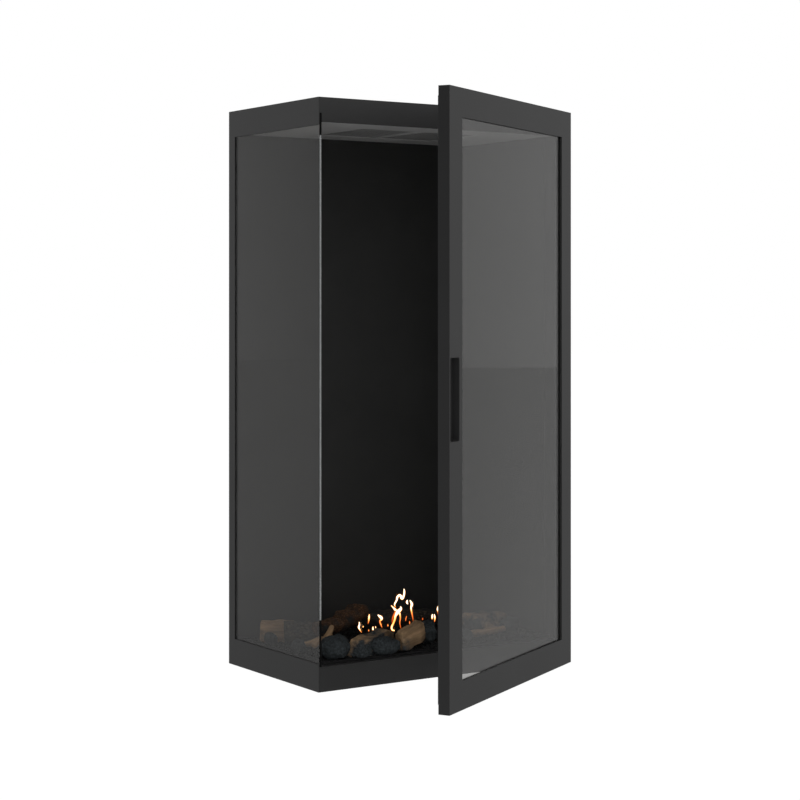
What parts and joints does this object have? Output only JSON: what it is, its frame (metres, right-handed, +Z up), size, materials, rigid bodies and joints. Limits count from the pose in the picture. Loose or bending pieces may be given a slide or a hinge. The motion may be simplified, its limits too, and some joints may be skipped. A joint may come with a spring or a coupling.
{
  "type": "corner gas fireplace",
  "caption": "Tall built-in corner fireplace: black steel body, glass side, hinged glass front door with a recessed pull, ceramic logs and a concentric flue socket.",
  "frame": {"origin": "centre of the body's base, where it rests", "axes": "+X along the front towards the door's hinges, +Y from the front to the back, +Z up"},
  "size_m": [0.664, 0.7589, 1.282],
  "materials": {
    "black_steel": "satin",
    "liner_steel": "matt",
    "ceiling_steel": "satin",
    "grille_steel": "satin",
    "ceramic_glass": "clear",
    "woven_gasket": "matt",
    "plain_steel": "satin",
    "brass": "satin",
    "cast_aluminium": "satin",
    "electrode_ceramic": "glazed",
    "log_tan": "matt",
    "log_bark": "matt",
    "stone": "matt",
    "embers": "matt"
  },
  "bodies": {
    "body": {"back_liner": "liner_steel", "back_panel": "black_steel", "base_tray": "black_steel", "branch_fork": "log_tan", "branch_left": "log_tan", "branch_right": "log_tan", "burner_pipe": "plain_steel", "burner_tray": "plain_steel", "ceiling_grilles": "grille_steel", "ceiling_panel": "ceiling_steel", "collar_flange": "plain_steel", "ember_bed": "embers", "floor_deck": "liner_steel", "flue_inner": "plain_steel", "flue_outer": "plain_steel", "flue_plenum": "plain_steel", "flue_ring": "plain_steel", "flue_screws": "plain_steel", "gas_inlet": "brass", "gas_valve": "cast_aluminium", "glass_clips": "black_steel", "glass_seat": "woven_gasket", "glass_stop": "black_steel", "header_box": "black_steel", "hinge_lower": "black_steel", "hinge_pins": "plain_steel", "hinge_washers": "brass", "injector": "brass", "log_back": "log_bark", "log_bark_high": "log_bark", "log_bark_low": "log_bark", "log_door_side": "log_tan", "log_front": "log_tan", "log_left_block": "log_tan", "log_left_hump": "log_bark", "log_right": "log_tan", "mixing_tube": "plain_steel", "pilot_burner": "plain_steel", "rear_post": "black_steel", "right_jamb": "black_steel", "right_liner": "liner_steel", "right_panel": "black_steel", "side_glass": "ceramic_glass", "side_trim": "black_steel", "spark_electrode": "electrode_ceramic", "stones": "stone", "supply_pipe": "plain_steel", "thermocouple": "plain_steel"},
    "door": {"door_frame": "black_steel", "door_backplate": "black_steel", "door_glass": "ceramic_glass", "glass_gaskets": "woven_gasket", "glass_strips": "black_steel", "strip_screws": "plain_steel", "finger_pull": "black_steel", "door_seal": "woven_gasket", "door_magnets": "plain_steel", "hinge_upper": "black_steel"}
  },
  "joints": [
    {"name": "door_hinge", "type": "hinge", "parent": "body", "child": "door", "pos_m": [0.331, -0.201, 0], "axis": [0, 0, 1], "range_deg": [-29.4, 75.6]}
  ]
}
